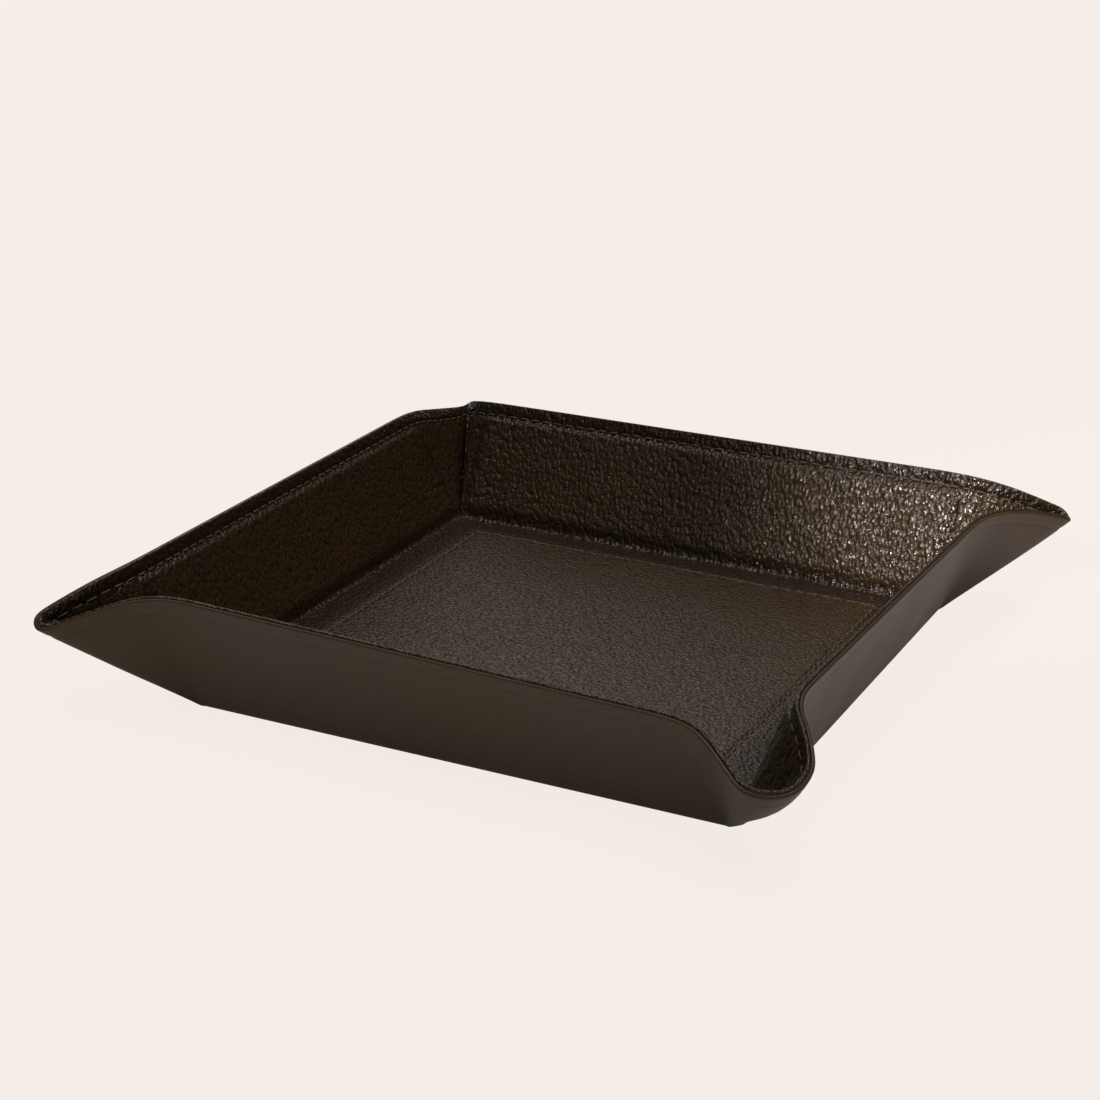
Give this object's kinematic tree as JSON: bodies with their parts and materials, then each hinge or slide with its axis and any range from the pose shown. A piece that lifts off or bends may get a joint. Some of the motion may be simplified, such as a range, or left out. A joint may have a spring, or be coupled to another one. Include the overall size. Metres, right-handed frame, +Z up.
{
  "type": "valet tray",
  "caption": "Square leather valet tray with outward-leaning stiffened walls and corners pinched into open pointed spouts.",
  "frame": {"origin": "middle of the underside, on the surface that the tray stands on", "axes": "+Z up; front wall towards -Y, right wall towards +X"},
  "size_m": [0.2176, 0.2176, 0.0369],
  "materials": {
    "outer_leather": "dark brown smooth leather, matte",
    "grained_lining": "dark brown pebbled leather, semi-gloss",
    "fibreboard": "pressed fibreboard",
    "thread": "waxed dark brown thread"
  },
  "bodies": {
    "root": {"outer_leather": "outer_leather", "inner_lining": "grained_lining", "floor_board": "fibreboard", "wall_board_front": "fibreboard", "wall_board_back": "fibreboard", "wall_board_left": "fibreboard", "wall_board_right": "fibreboard", "rim_stitching_front": "thread", "rim_stitching_back": "thread", "rim_stitching_left": "thread", "rim_stitching_right": "thread", "floor_stitching_front": "thread", "floor_stitching_back": "thread", "floor_stitching_left": "thread", "floor_stitching_right": "thread", "ear_stitching_front_left": "thread", "ear_stitching_front_right": "thread", "ear_stitching_back_left": "thread", "ear_stitching_back_right": "thread", "corner_tack_front_left": "thread", "corner_tack_front_right": "thread", "corner_tack_back_left": "thread", "corner_tack_back_right": "thread"}
  },
  "joints": []
}
